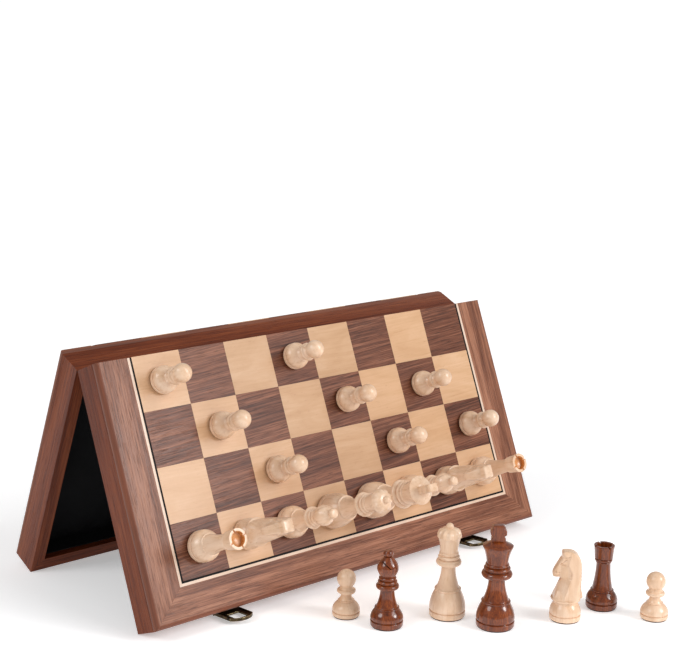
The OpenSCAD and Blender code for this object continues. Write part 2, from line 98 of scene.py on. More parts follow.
class Half:
    """One half of the board: x along the files, u down the slope from the hinge axis, w out of the face."""

    def __init__(self, side, normal, sign):
        self.side = side
        self.body = side + "_half"
        self.hinge = Vector(JOINTS["board_fold"]["pos_m"])
        self.normal = Vector(normal).normalized()
        self.down = Vector((0, sign * self.normal.z, -sign * self.normal.y))

    def local(self, point):
        offset = point - self.hinge
        return Vector((point.x, offset.dot(self.down), offset.dot(self.normal)))

    def world(self, x, u, w):
        return self.hinge + Vector((x, 0, 0)) + self.down * u + self.normal * w

    def box(self, points):
        """Lowest and highest x, u and w of some points."""
        co = np.array([self.local(p) for p in points])
        return Vector(co.min(0)), Vector(co.max(0))


FRONT = Half("front", JOINTS["light_rook_a1_lift"]["axis"], -1)
BACK = Half("back", JOINTS["dark_rook_a8_lift"]["axis"], 1)

# ---------- material nodes ----------


def srgb(r, g, b):
    """Linear colour of an 8-bit one."""
    return tuple(((c / 255 + 0.055) / 1.055) ** 2.4 if c > 10 else c / 255 / 12.92 for c in (r, g, b)) + (1,)


class Paint:
    """A material whose nodes are made by calls that give back sockets."""

    def __init__(self, name, roughness=0.5, metallic=0.0, coat=0.0, coat_roughness=0.1, specular=0.5):
        self.material = bpy.data.materials.new(name)
        self.material.use_nodes = True
        self.tree = self.material.node_tree
        self.shader = self.tree.nodes["Principled BSDF"]
        self.put(self.shader.inputs["Roughness"], roughness)
        self.put(self.shader.inputs["Metallic"], metallic)
        self.put(self.shader.inputs["Coat Weight"], coat)
        self.put(self.shader.inputs["Coat Roughness"], coat_roughness)
        self.put(self.shader.inputs["Specular IOR Level"], specular)

    def put(self, socket, value):
        if isinstance(value, bpy.types.NodeSocket):
            self.tree.links.new(value, socket)
        else:
            socket.default_value = value

    def add(self, kind, inputs, **settings):
        node = self.tree.nodes.new("ShaderNode" + kind)
        for key, value in settings.items():
            setattr(node, key, value)
        for key, value in inputs.items():
            self.put(node.inputs[key], value)
        return node

    def attribute(self, name):
        return self.add("Attribute", {}, attribute_name=name)

    def grain(self, along, across):
        """Coordinates that run along the grain, stretched to so many features a metre."""
        place = self.attribute("grain").outputs["Vector"]
        return self.add("VectorMath", {0: place, 1: (along, across, across)}, operation="MULTIPLY").outputs[0]

    def noise(self, vector, detail=2.0, roughness=0.5, distortion=0.0):
        inputs = {"Vector": vector, "Scale": 1.0, "Detail": detail, "Roughness": roughness,
                  "Distortion": distortion}
        return self.add("TexNoise", inputs).outputs["Fac"]

    def math(self, operation, a, b=0.0):
        return self.add("Math", {0: a, 1: b}, operation=operation).outputs[0]

    def band(self, value, low, high):
        """0 below low and 1 above high."""
        inputs = {"Value": value, "From Min": low, "From Max": high, "To Min": 0.0, "To Max": 1.0}
        return self.add("MapRange", inputs, interpolation_type="SMOOTHSTEP").outputs["Result"]

    def spread(self, value, low, high, to_low, to_high):
        inputs = {"Value": value, "From Min": low, "From Max": high, "To Min": to_low, "To Max": to_high}
        return self.add("MapRange", inputs).outputs["Result"]

    def ramp(self, value, *stops):
        """A colour by value, from stops of place and colour."""
        node = self.add("ValToRGB", {"Fac": value})
        while len(node.color_ramp.elements) < len(stops):
            node.color_ramp.elements.new(0.5)
        for element, (place, colour) in zip(node.color_ramp.elements, stops):
            element.position = place
            element.color = colour
        return node.outputs["Color"]

    def mix(self, share, a, b):
        node = self.add("Mix", {}, data_type="RGBA")
        for key, value in ((0, share), (6, a), (7, b)):
            self.put(node.inputs[key], value)
        return node.outputs[2]

    def finish(self, colour, roughness=None, height=None, depth=0.0001, strength=0.5):
        """Joins the colour, the roughness and the bump height to the shader."""
        self.put(self.shader.inputs["Base Color"], colour)
        if roughness is not None:
            self.put(self.shader.inputs["Roughness"], roughness)
        if height is not None:
            bump = self.add("Bump", {"Strength": strength, "Distance": depth, "Height": height})
            self.put(self.shader.inputs["Normal"], bump.outputs["Normal"])
        return self.material


def toned(p, colour, tone_share):
    """A colour made lighter or darker by the piece's own tone, from -1 to 1."""
    tone = p.attribute("tone").outputs["Fac"]
    brightness = p.spread(tone, -1.0, 1.0, 1 - tone_share, 1 + tone_share)
    return p.add("HueSaturation", {"Value": brightness, "Color": colour}).outputs["Color"]


LIP_WOOD_AND_HIGHLIGHT = (0.3, 0.16, 0.12, 1)     # rounded top edge: a little paler wood than the walls, plus a painted highlight for the soft box's glare on the rounding


def walnut(name, dark, middle, light, pore, figure_share, pore_share, roughness, specular, tone_share):
    """Walnut: broad figure, growth lines, fine fibre and short open pores, all along the grain."""
    p = Paint(name, specular=specular)
    figure = p.noise(p.grain(5, 90), detail=3, distortion=0.6)
    lines = p.noise(p.grain(13, 760), detail=3, roughness=0.65, distortion=0.4)
    fibre = p.noise(p.grain(50, 2600), detail=2, roughness=0.6)
    pores = p.noise(p.grain(85, 2100), detail=1, distortion=0.3)
    broad = p.math("MULTIPLY", figure, figure_share)
    fine = p.math("ADD", p.math("MULTIPLY", lines, 0.7 - figure_share), p.math("MULTIPLY", fibre, 0.3))
    shade = p.math("ADD", broad, fine)
    colour = p.ramp(shade, (0.40, dark), (0.50, middle), (0.60, light))
    open_pore = p.band(pores, 0.57, 0.69)
    colour = p.mix(p.math("MULTIPLY", open_pore, pore_share), colour, pore)
    # painted highlight: the wall's top edge above the groove is mixed toward a paler colour, partly paler
    # edge wood and partly the soft box's glare on the rounding
    colour = p.mix(p.math("MULTIPLY", p.attribute("lip").outputs["Fac"], 0.35), colour, LIP_WOOD_AND_HIGHLIGHT)
    colour = toned(p, colour, tone_share)
    rough = p.spread(fibre, 0.3, 0.7, roughness - 0.05, roughness + 0.09)
    height = p.math("SUBTRACT", p.math("MULTIPLY", fibre, 0.35), open_pore)
    return p.finish(colour, rough, height, depth=0.00006, strength=0.45)


def maple(name, dark, middle, light):
    """Pale maple: close grain with faint streaks and short flecks."""
    p = Paint(name, coat=0.1, coat_roughness=0.25, specular=0.3)
    figure = p.noise(p.grain(12, 45), detail=4, roughness=0.6, distortion=1.2)
    streak = p.noise(p.grain(22, 620), detail=3, roughness=0.6, distortion=0.3)
    fleck = p.noise(p.grain(240, 1300), detail=1)
    shade = p.math("ADD", p.math("MULTIPLY", figure, 0.7), p.math("MULTIPLY", streak, 0.3))
    colour = p.ramp(shade, (0.32, dark), (0.5, middle), (0.68, light))
    colour = p.mix(p.math("MULTIPLY", p.band(fleck, 0.67, 0.76), 0.3), colour, srgb(176, 126, 92))
    colour = toned(p, colour, 0.06)
    rough = p.spread(streak, 0.3, 0.7, 0.27, 0.36)
    return p.finish(colour, rough, p.math("ADD", streak, fleck), depth=0.00003, strength=0.3)


def pale_turned():
    """Clear-lacquered pale wood of the light men."""
    p = Paint("pale_turned_wood", coat=0.35, coat_roughness=0.16, specular=0.4)
    figure = p.noise(p.grain(26, 75), detail=3, roughness=0.5, distortion=1.6)
    rings = p.noise(p.grain(12, 420), detail=3, roughness=0.55, distortion=0.5)
    fleck = p.noise(p.grain(340, 1700), detail=1)
    shade = p.math("ADD", p.math("MULTIPLY", figure, 0.7), p.math("MULTIPLY", rings, 0.3))
    colour = p.ramp(shade, (0.34, srgb(220, 181, 146)), (0.5, srgb(229, 194, 163)),
                    (0.66, srgb(237, 207, 180)))
    colour = p.mix(p.math("MULTIPLY", p.band(fleck, 0.66, 0.78), 0.2), colour, srgb(186, 136, 98))
    grit = p.noise(p.grain(900, 2400), detail=3, roughness=0.7)
    raw = p.ramp(grit, (0.35, srgb(186, 112, 52)), (0.6, srgb(232, 168, 102)), (0.75, srgb(244, 194, 132)))
    colour = p.mix(p.attribute("raw").outputs["Fac"], colour, raw)
    colour = toned(p, colour, 0.04)
    fibre = p.noise(p.grain(120, 2200), detail=2)
    rough = p.spread(rings, 0.3, 0.7, 0.25, 0.34)
    return p.finish(colour, rough, fibre, depth=0.00003, strength=0.3)


def stained_turned():
    """Red-brown stain under thick gloss, darker where it lies in the pores."""
    p = Paint("stained_turned_wood", coat=0.95, coat_roughness=0.08, specular=0.15)
    rings = p.noise(p.grain(14, 330), detail=3, roughness=0.6, distortion=0.8)
    fibre = p.noise(p.grain(150, 2300), detail=2)
    pores = p.noise(p.grain(420, 2100), detail=2)
    shade = p.math("ADD", p.math("MULTIPLY", rings, 0.65), p.math("MULTIPLY", fibre, 0.35))
    colour = p.ramp(shade, (0.32, srgb(74, 28, 7)), (0.5, srgb(114, 50, 15)), (0.68, srgb(150, 75, 25)))
    dots = p.band(pores, 0.54, 0.68)
    colour = p.mix(p.math("MULTIPLY", dots, 0.6), colour, srgb(62, 20, 7))
    colour = toned(p, colour, 0.08)
    rough = p.spread(rings, 0.3, 0.7, 0.30, 0.42)
    return p.finish(colour, rough, p.math("SUBTRACT", fibre, dots), depth=0.00004, strength=0.35)


def bronze():
    """Aged bronze: brown-black in the flats, and rubbed bright along the edges."""
    p = Paint("aged_bronze", metallic=0.9)
    blotch = p.noise(p.grain(260, 260), detail=4, roughness=0.6)
    fine = p.noise(p.grain(2600, 2600), detail=2)
    flat = p.ramp(blotch, (0.32, srgb(46, 38, 27)), (0.52, srgb(84, 71, 50)), (0.72, srgb(122, 106, 76)))
    worn = p.attribute("worn").outputs["Fac"]
    patchy = p.math("ADD", blotch, p.math("MULTIPLY", fine, 0.4))
    rubbed = p.math("MULTIPLY", worn, p.band(patchy, 0.45, 0.75))
    colour = p.mix(rubbed, flat, srgb(196, 178, 136))
    rough = p.math("SUBTRACT", p.spread(blotch, 0.3, 0.7, 0.46, 0.34), p.math("MULTIPLY", rubbed, 0.14))
    height = p.math("ADD", blotch, p.math("MULTIPLY", fine, 0.3))
    return p.finish(colour, rough, height, depth=0.00008, strength=0.35)


def steel():
    p = Paint("plain_steel", metallic=1.0)
    draw = p.noise(p.grain(60, 4000), detail=3)
    colour = p.ramp(draw, (0.3, srgb(126, 127, 128)), (0.7, srgb(178, 179, 180)))
    return p.finish(colour, p.spread(draw, 0.3, 0.7, 0.24, 0.4), draw, depth=0.00002, strength=0.3)


def velvet():
    """Short black pile that catches light at a glance."""
    p = Paint("black_velvet", roughness=0.95, specular=0.15)
    pile = p.noise(p.grain(3500, 3500), detail=2)
    nap = p.noise(p.grain(28, 28), detail=3, distortion=0.6)
    shade = p.math("ADD", p.math("MULTIPLY", nap, 0.6), p.math("MULTIPLY", pile, 0.4))
    colour = p.ramp(shade, (0.35, srgb(3, 3, 4)), (0.65, srgb(17, 17, 19)))
    p.put(p.shader.inputs["Sheen Weight"], 0.12)
    p.put(p.shader.inputs["Sheen Roughness"], 0.35)
    return p.finish(colour, None, pile, depth=0.0002, strength=0.6)


def felt():
    p = Paint("brown_felt", roughness=0.95, specular=0.1)
    fuzz = p.noise(p.grain(2600, 2600), detail=3, roughness=0.65)
    colour = p.ramp(fuzz, (0.35, srgb(38, 20, 14)), (0.65, srgb(78, 46, 34)))
    p.put(p.shader.inputs["Sheen Weight"], 0.2)
    return p.finish(colour, None, fuzz, depth=0.0003, strength=0.6)


def ebony():
    """Black dyed string."""
    p = Paint("black_inlay", specular=0.12)
    fibre = p.noise(p.grain(80, 2400), detail=2)
    colour = p.ramp(fibre, (0.35, srgb(9, 7, 7)), (0.68, srgb(27, 22, 22)))
    return p.finish(colour, p.spread(fibre, 0.3, 0.7, 0.45, 0.6), fibre, depth=0.00003, strength=0.3)


def plywood():
    p = Paint("plywood", roughness=0.6)
    streak = p.noise(p.grain(14, 380), detail=3, distortion=0.5)
    colour = p.ramp(streak, (0.3, srgb(176, 134, 92)), (0.7, srgb(214, 176, 130)))
    return p.finish(colour, p.spread(streak, 0.3, 0.7, 0.55, 0.68), streak, depth=0.00006, strength=0.4)


WALL_WOOD = walnut(
    "walnut_solid", srgb(84, 35, 16), srgb(117, 54, 27), srgb(142, 75, 41), srgb(52, 20, 10),
    figure_share=0.35, pore_share=0.4, roughness=0.30, specular=0.14, tone_share=0.14)
VENEER = walnut(
    "walnut_border", srgb(92, 49, 32), srgb(136, 85, 61), srgb(172, 119, 92), srgb(66, 32, 20),
    figure_share=0.4, pore_share=0.6, roughness=0.32, specular=0.3, tone_share=0.05)
SQUARE_VENEER = walnut(
    "walnut_squares", srgb(72, 38, 25), srgb(112, 65, 45), srgb(148, 96, 71), srgb(50, 24, 15),
    figure_share=0.25, pore_share=0.6, roughness=0.32, specular=0.3, tone_share=0.13)
MAPLE = maple("maple", srgb(196, 152, 112), srgb(207, 165, 127), srgb(216, 177, 142))
HOLLY = maple("holly_string", srgb(222, 192, 168), srgb(232, 204, 182), srgb(238, 213, 194))
PALE = pale_turned()
STAINED = stained_turned()
BRONZE = bronze()
STEEL = steel()
VELVET = velvet()
FELT = felt()
EBONY = ebony()
PLYWOOD = plywood()

# ---------- meshes ----------


def draw_number(text):
    """A steady number from 0 to 1 for a name."""
    total = 0
    for letter in text:
        total = (total * 131 + ord(letter)) % 1000003
    return (total * 7919 % 1000003) / 1000003


def set_values(mesh, name, values, kind="FLOAT"):
    """Stores a value or a vector for each vertex, for the materials to read."""
    layer = mesh.attributes.get(name) or mesh.attributes.new(name, kind, "POINT")
    key = "vector" if kind == "FLOAT_VECTOR" else "value"
    layer.data.foreach_set(key, np.asarray(values, np.float32).ravel())


def put_piece(name, mesh, body, material, replaced=(), matrix=None):
    """Links a mesh as a piece of the model that rides a body."""
    piece = bpy.data.objects.new(name, mesh)
    SCENE.collection.objects.link(piece)
    if matrix is not None:
        piece.matrix_world = matrix
    mesh.materials.append(material)
    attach(piece, body)
    if replaced:
        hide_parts(*replaced)
    return piece


def split_islands(bm):
    """The separate solids of a mesh, each as a list of its vertices."""
    left = set(bm.verts)
    found = []
    while left:
        stack = [left.pop()]
        island = list(stack)
        while stack:
            for edge in stack.pop().link_edges:
                for vert in edge.verts:
                    if vert in left:
                        left.remove(vert)
                        island.append(vert)
                        stack.append(vert)
        found.append(island)
    centre = {id(i): sum((v.co for v in i), Vector()) / len(i) for i in found}
    return sorted(found, key=lambda i: tuple(round(c, 3) for c in centre[id(i)]))


def cad_mesh(node):
    """A clean copy of a CAD node: welded, with its flat faces whole again."""
    bm = bmesh.new()
    bm.from_mesh(NODES[node].data)
    bmesh.ops.remove_doubles(bm, verts=bm.verts, dist=1e-6)
    bmesh.ops.dissolve_limit(bm, angle_limit=radians(0.3), verts=bm.verts, edges=bm.edges)
    return bm


def soften_edges(bm, width, segments=2):
    """Rounds the sharp edges and marks their faces as worn."""
    worn = bm.faces.layers.float.get("worn") or bm.faces.layers.float.new("worn")
    sharp = [e for e in bm.edges if e.is_manifold and e.calc_face_angle(0) > radians(28)]
    made = bmesh.ops.bevel(bm, geom=sharp, offset=width, segments=segments, profile=0.5, affect="EDGES",
                           clamp_overlap=True)
    for face in made["faces"]:
        face[worn] = 1.0


def finish_mesh(bm, name, grains, tones):
    """Turns bm into a mesh; grains and tones map each vertex to its grain place and its tone."""
    mesh = bpy.data.meshes.new(name)
    bm.to_mesh(mesh)
    bm.free()
    set_values(mesh, "grain", grains, "FLOAT_VECTOR")
    set_values(mesh, "tone", tones)
    mesh.shade_smooth()
    return mesh


def weighted_normals(piece):
    modifier = piece.modifiers.new("even_normals", "WEIGHTED_NORMAL")
    modifier.keep_sharp = True
    modifier.weight = 60


def board_grain(bm, half, name, turned=0.0, lengthwise=None):
    """Grain places and tones of boards on a half, each board along its own longer side."""
    count = len(bm.verts)
    bm.verts.ensure_lookup_table()
    bm.verts.index_update()
    grains = np.zeros((count, 3))
    tones = np.zeros(count)
    for number, island in enumerate(split_islands(bm)):
        low, high = half.box([v.co for v in island])
        centre = (low + high) / 2
        seed = draw_number(f"{name}{number}")
        along_x = high.x - low.x > high.y - low.y if lengthwise is None else lengthwise == "x"
        turn = turned * (2 * draw_number(f"turn{name}{number}") - 1)
        shift = Vector((seed * 3.1, draw_number(f"s{name}{number}") * 2.3, seed * 1.7))
        for vert in island:
            x, u, w = half.local(vert.co)
            a, b = (x - centre.x, u - centre.y) if along_x else (u - centre.y, x - centre.x)
            place = Vector((a * cos(turn) - b * sin(turn), a * sin(turn) + b * cos(turn), w)) + shift
            grains[vert.index] = place
            tones[vert.index] = 2 * draw_number(f"tone{name}{number}") - 1
    return grains, tones


def add_boards(node, half, material, edge, turned=0.0, lengthwise=None, shape=None):
    """Boards of a CAD node, with softened edges and a grain of their own that turns by up to turned."""
    bm = cad_mesh(node)
    if shape:
        shape(bm, half)
    soften_edges(bm, edge)
    grains, tones = board_grain(bm, half, node, turned, lengthwise)
    mesh = finish_mesh(bm, node, grains, tones)
    # the lip mask marks the top edge above the groove, which the walnut paints paler: partly paler wood,
    # partly a painted highlight
    if shape:
        heights = np.array([half.local(v.co).z for v in mesh.vertices])
        set_values(mesh, "lip", heights > heights.max() - JOINT_LINE)
    weighted_normals(put_piece(node + "_wood", mesh, half.body, material, [node]))


# ---------- board ----------

JOINT_LINE = 4.6 * MM       # fine groove round the walls, below the playing face
GROOVE = 0.35 * MM          # half its width
GROOVE_DEPTH = 1.2 * GROOVE
WALL_EDGE = 0.45 * MM
VENEER_EDGE = 0.05 * MM
STRING_BACK = 0.2 * MM      # the strings' ends stay behind the rounded ridge
CLOTH_STEP = 12 * MM        # longest edge in the velvet
CLOTH_HEM = 1.5 * MM        # the cloth stays flat this close to the end walls
CLOTH_BACK = 0.4 * MM       # its glued back lies this close to the panel
CLOTH_WAVE = 0.25 * MM
CLOTH_WAVES = 45            # a metre


def cut_groove(bm, half):
    """A V groove round the latch and end walls, where the top board meets the box."""
    low, high = half.box([v.co for v in bm.verts])
    line = high.z - JOINT_LINE
    for offset in (-GROOVE, 0, GROOVE):
        at = half.world(0, 0, line + offset)
        geometry = bm.verts[:] + bm.edges[:] + bm.faces[:]
        bmesh.ops.bisect_plane(bm, geom=geometry, plane_co=at, plane_no=half.normal, dist=1e-7)
    near = 0.05 * MM
    for vert in bm.verts:
        x, u, w = half.local(vert.co)
        if abs(w - line) > near:
            continue
        if abs(abs(x) - high.x) < near:
            vert.co.x -= GROOVE_DEPTH * (1 if x > 0 else -1)
        if abs(u - high.y) < near:
            vert.co -= half.down * GROOVE_DEPTH


def side_reach(half, island):
    """How far a solid reaches from the middle of the board, along its width."""
    low, high = half.box([v.co for v in island])
    return max(abs(low.x), abs(high.x))


def add_strings(half):
    """Inlaid strings: the dark ones lie inside the light ones."""
    node = half.side + "_strings"
    bm = cad_mesh(node)
    widest = max(side_reach(half, island) for island in split_islands(bm))
    bm.free()
    for kind, material in (("light", HOLLY), ("dark", EBONY)):
        bm = cad_mesh(node)
        for island in split_islands(bm):
            outer = side_reach(half, island) > widest - 1 * MM
            if outer != (kind == "light"):
                bmesh.ops.delete(bm, geom=island, context="VERTS")
        ridge = half.box([v.co for v in bm.verts])[0].y
        for vert in bm.verts:
            if half.local(vert.co).y < ridge + STRING_BACK:
                vert.co += half.down * STRING_BACK
        soften_edges(bm, VENEER_EDGE, 1)
        grains, tones = board_grain(bm, half, node + kind)
        mesh = finish_mesh(bm, node, grains, tones)
        weighted_normals(put_piece(f"{half.side}_{kind}_string", mesh, half.body, material, [node]))


def add_lining(half):
    """Velvet glued into the half box: the flat cloth is a little uneven."""
    node = half.side + "_lining"
    bm = cad_mesh(node)
    bmesh.ops.triangulate(bm, faces=bm.faces)
    for _ in range(6):
        long_edges = [e for e in bm.edges if e.calc_length() > CLOTH_STEP]
        if not long_edges:
            break
        bmesh.ops.subdivide_edges(bm, edges=long_edges, cuts=1)
        bmesh.ops.triangulate(bm, faces=bm.faces)
    bm.normal_update()
    low, high = half.box([v.co for v in bm.verts])
    for vert in bm.verts:
        local = half.local(vert.co)
        if low.x + CLOTH_HEM < local.x < high.x - CLOTH_HEM and local.z < high.z - CLOTH_BACK:
            vert.co -= half.normal * CLOTH_WAVE * (1 + noise.noise(vert.co * CLOTH_WAVES))
    grains = np.array([half.local(v.co) for v in bm.verts])
    mesh = finish_mesh(bm, node, grains, np.zeros(len(grains)))
    mesh.set_sharp_from_angle(angle=radians(40))
    put_piece(node + "_velvet", mesh, half.body, VELVET, [node])


for half in (FRONT, BACK):
    add_boards(half.side + "_walls", half, WALL_WOOD, WALL_EDGE, shape=cut_groove)
    add_boards(half.side + "_border", half, VENEER, VENEER_EDGE)
    add_boards(half.side + "_light_squares", half, MAPLE, VENEER_EDGE, turned=0.05,
               lengthwise="x")
    add_boards(half.side + "_dark_squares", half, SQUARE_VENEER, VENEER_EDGE, turned=0.08,
               lengthwise="x")
    add_strings(half)
    add_lining(half)
    add_boards(half.side + "_panel", half, PLYWOOD, edge=0.1 * MM)
    add_boards(half.side + "_steel_sheet", half, STEEL, VENEER_EDGE)

# ---------- hardware ----------


def add_metal(node, body, material, edge):
    """A metal CAD node with softened edges, worn bright where it is bronze."""
    bm = cad_mesh(node)
    soften_edges(bm, edge, 3)
    places = [v.co.copy() for v in bm.verts]
    mesh = finish_mesh(bm, node, places, np.zeros(len(places)))
    weighted_normals(put_piece(node + "_metal", mesh, body, material, [node]))


add_metal("front_hinge_leaves", "front_half", BRONZE, edge=0.12 * MM)
add_metal("back_hinge_leaves", "back_half", BRONZE, edge=0.12 * MM)
add_metal("hinge_pins", "front_half", STEEL, edge=0.12 * MM)
add_metal("catch_plates", "front_half", BRONZE, edge=0.08 * MM)
add_metal("catch_pins", "front_half", STEEL, edge=0.08 * MM)
add_metal("catch_keepers", "back_half", BRONZE, edge=0.2 * MM)
add_metal("left_catch_loop", "left_loop", BRONZE, edge=0.25 * MM)
add_metal("right_catch_loop", "right_loop", BRONZE, edge=0.25 * MM)


SCREW_RADIUS = 1.7 * MM
SCREW_RISE = 0.22 * MM
SCREW_STEP = 10.5 * MM      # between the screws of a leaf
SCREW_INSET = 3.2 * MM      # from the leaf's lower edge


def screw_head(bm, matrix):
    """A low domed screw head with a cross slot."""
    rings = 5
    steps = 24
    slot_half = 0.16 * SCREW_RADIUS
    slot_reach = 0.75 * SCREW_RADIUS
    previous = []
    for ring in range(rings + 1):
        share = ring / rings
        r = SCREW_RADIUS * cos(share * pi / 2 * 0.98) if ring else SCREW_RADIUS
        z = SCREW_RISE * sin(share * pi / 2)
        row = []
        for i in range(steps):
            a = 2 * pi * i / steps
            x, y = r * cos(a), r * sin(a)
            in_slot = ring and r < slot_reach and min(abs(x), abs(y)) < slot_half
            row.append(bm.verts.new(matrix @ Vector((x, y, z - (0.5 * SCREW_RISE if in_slot else 0)))))
        for i in range(steps if previous else 0):
            bm.faces.new((previous[i], previous[(i + 1) % steps], row[(i + 1) % steps], row[i]))
        previous = row
    bm.faces.new(previous)


def rim_height(half):
    """Height of the half's rim above the hinge plane."""
    low, high = half.box([v.co for v in NODES[half.side + "_walls"].data.vertices])
    return low.z


def add_screws(half):
    """Three screws in each hinge leaf, sunk in the rim of the ridge wall."""
    node = half.side + "_hinge_leaves"
    bm = bmesh.new()
    leaves = cad_mesh(node)
    for island in split_islands(leaves):
        low, high = half.box([v.co for v in island])
        middle = (low.x + high.x) / 2
        for step in (-SCREW_STEP, 0, SCREW_STEP):
            at = half.world(middle + step, high.y - SCREW_INSET, rim_height(half))
            z = -half.normal
            x = Vector((1, 0, 0))
            y = z.cross(x)
            screw_head(bm, Matrix.Translation(at) @ Matrix((x, y, z)).transposed().to_4x4())
    leaves.free()
    bm.normal_update()
    mesh = finish_mesh(bm, node + "_screws", [v.co.copy() for v in bm.verts], np.zeros(len(bm.verts)))
    mesh.set_sharp_from_angle(angle=radians(35))
    put_piece(half.side + "_hinge_screws", mesh, half.body, BRONZE)


for half in (FRONT, BACK):
    add_screws(half)

# ---------- outlines of the turned men ----------

# r is the radius of a man's base and h its height

FELT_T = 1.0
MEN_STEPS = 60
KING_NECK = 0.842       # where the cross stands on, as a share of h
KNIGHT_SEAT = 0.315     # where the head sits, as a share of h


def bell(r0, r1, z0, z1, n=14):
    """From r0 to r1, falling in ever faster."""
    return [(r1 + (r0 - r1) * (1 - (i / n) ** 2), z0 + (z1 - z0) * i / n) for i in range(n + 1)]


def taper(r0, r1, z0, z1, n=16):
    """From r0 to r1, falling in ever slower."""
    return [(r1 + (r0 - r1) * (1 - i / n) ** 2, z0 + (z1 - z0) * i / n) for i in range(n + 1)]


def flare(r0, r1, z0, z1, n=12):
    """From r0 to r1, opening ever faster."""
    return [(r0 + (r1 - r0) * (i / n) ** 1.7, z0 + (z1 - z0) * i / n) for i in range(n + 1)]


def bead(r, b, z0, z1, n=12):
    """A round collar of radius r that stands out by b."""
    return [(r - b + b * sin(pi * i / n), (z0 + z1) / 2 - (z1 - z0) / 2 * cos(pi * i / n))
            for i in range(n + 1)]


def ball(r, z, start, n=18):
    """A ball with its centre at z, from start degrees to its pole."""
    return [(r * cos(a), z + r * sin(a)) for a in (radians(start + (90 - start) * i / n) for i in range(n))]


def foot(r, plinth, bell_z, bell_r):
    """Plinth, groove and bell, which all the men share."""
    return [(r - 0.35, FELT_T), (r - 0.05, FELT_T + 0.35), (r, FELT_T + 0.8), (r, plinth - 0.35),
            (r - 0.25, plinth - 0.05), (r - 0.9, plinth + 0.1), (r - 0.9, plinth + 0.45),
            (r - 0.35, plinth + 0.8), (r - 0.08, plinth + 1.2)] + bell(r, bell_r, plinth + 1.6, bell_z)


def pawn(r, h):
    head = 0.197 * h
    return (foot(r, 0.105 * h, 0.335 * h, 0.58 * r) + bead(0.60 * r, 0.4, 0.338 * h, 0.36 * h)
            + taper(0.52 * r, 0.37 * r, 0.365 * h, 0.49 * h) + bead(0.68 * r, 1.5, 0.505 * h, 0.595 * h)
            + ball(head, h - head, -50))


def rook(r, h):
    return (foot(r, 0.10 * h, 0.275 * h, 0.70 * r) + bead(0.735 * r, 0.6, 0.278 * h, 0.297 * h)
            + taper(0.66 * r, 0.45 * r, 0.30 * h, 0.72 * h) + bead(0.50 * r, 0.5, 0.725 * h, 0.745 * h)
            + bead(0.56 * r, 0.8, 0.748 * h, 0.79 * h) + flare(0.58 * r, 0.655 * r, 0.80 * h, h - 0.3)
            + [(0.64 * r, h), (0.48 * r, h), (0.46 * r, h - 0.3), (0.46 * r, 0.915 * h),
               (0.44 * r, 0.91 * h)])


def bishop(r, h):
    low = [(0.47 + 0.18 * sin(pi / 2 * i / 12), 0.668 + 0.102 * i / 12) for i in range(13)]
    high = [(0.25 + 0.40 * cos(pi / 2 * i / 14), 0.77 + 0.15 * i / 14) for i in range(1, 15)]
    return (foot(r, 0.085 * h, 0.24 * h, 0.70 * r) + bead(0.75 * r, 0.6, 0.243 * h, 0.26 * h)
            + taper(0.66 * r, 0.43 * r, 0.265 * h, 0.495 * h) + bead(0.70 * r, 1.8, 0.50 * h, 0.565 * h)
            + bead(0.59 * r, 0.9, 0.572 * h, 0.612 * h) + bead(0.53 * r, 0.9, 0.62 * h, 0.66 * h)
            + [(a * r, b * h) for a, b in low + high] + bead(0.31 * r, 1.6, 0.925 * h, h))


def queen(r, h):
    tip = 0.21 * r
    return (foot(r, 0.07 * h, 0.288 * h, 0.70 * r) + bead(0.735 * r, 0.6, 0.291 * h, 0.308 * h)
            + taper(0.64 * r, 0.38 * r, 0.312 * h, 0.55 * h) + bead(0.70 * r, 2.2, 0.556 * h, 0.62 * h)
            + bead(0.60 * r, 1.0, 0.626 * h, 0.66 * h) + bead(0.54 * r, 0.8, 0.665 * h, 0.695 * h)
            + flare(0.49 * r, 0.60 * r, 0.70 * h, 0.835 * h)
            + flare(0.61 * r, 0.69 * r, 0.838 * h, 0.86 * h, 5)
            + [(0.69 * r, 0.87 * h), (0.69 * r, 0.883 * h)]
            + [((0.19 + 0.48 * cos(a)) * r, (0.887 + 0.06 * sin(a)) * h) for a in np.linspace(0, 1.4, 12)]
            + ball(tip, h - tip, -18))


def king(r, h):
    neck = KING_NECK * h
    return (foot(r, 0.065 * h, 0.243 * h, 0.72 * r) + bead(0.76 * r, 0.6, 0.246 * h, 0.262 * h)
            + taper(0.67 * r, 0.42 * r, 0.267 * h, 0.485 * h) + bead(0.80 * r, 2.6, 0.49 * h, 0.555 * h)
            + bead(0.69 * r, 1.2, 0.561 * h, 0.596 * h) + bead(0.61 * r, 0.8, 0.602 * h, 0.63 * h)
            + flare(0.56 * r, 0.79 * r, 0.637 * h, 0.795 * h)
            + [(0.79 * r, 0.803 * h), (0.40 * r, neck - 0.4), (0.36 * r, neck)])


def pedestal(r, h):
    seat = KNIGHT_SEAT * h
    return (foot(r, 0.085 * h, 0.25 * h, 0.77 * r) + flare(0.76 * r, 0.92 * r, 0.27 * h, 0.297 * h)
            + [(0.93 * r, 0.302 * h), (0.93 * r, seat - 0.2), (0.91 * r, seat)])


def round_corners(points):
    """Rounds the corners of an outline with short curves."""
    radius = 0.22
    least_turn = 25
    result = [points[0]]
    for before, at, after in zip(points, points[1:], points[2:]):
        a = Vector(at) - Vector(before)
        b = Vector(after) - Vector(at)
        if a.length < 1e-6 or b.length < 1e-6:
            continue
        if degrees(acos(max(-1, min(1, a.dot(b) / a.length / b.length)))) < least_turn:
            result.append(at)
            continue
        start = Vector(at) - a.normalized() * min(radius, a.length * 0.4)
        end = Vector(at) + b.normalized() * min(radius, b.length * 0.4)
        for t in (0, 0.33, 0.67, 1):
            mixed = start * (1 - t) ** 2 + Vector(at) * 2 * t * (1 - t) + end * t ** 2
            result.append(tuple(mixed))
    return result + [points[-1]]


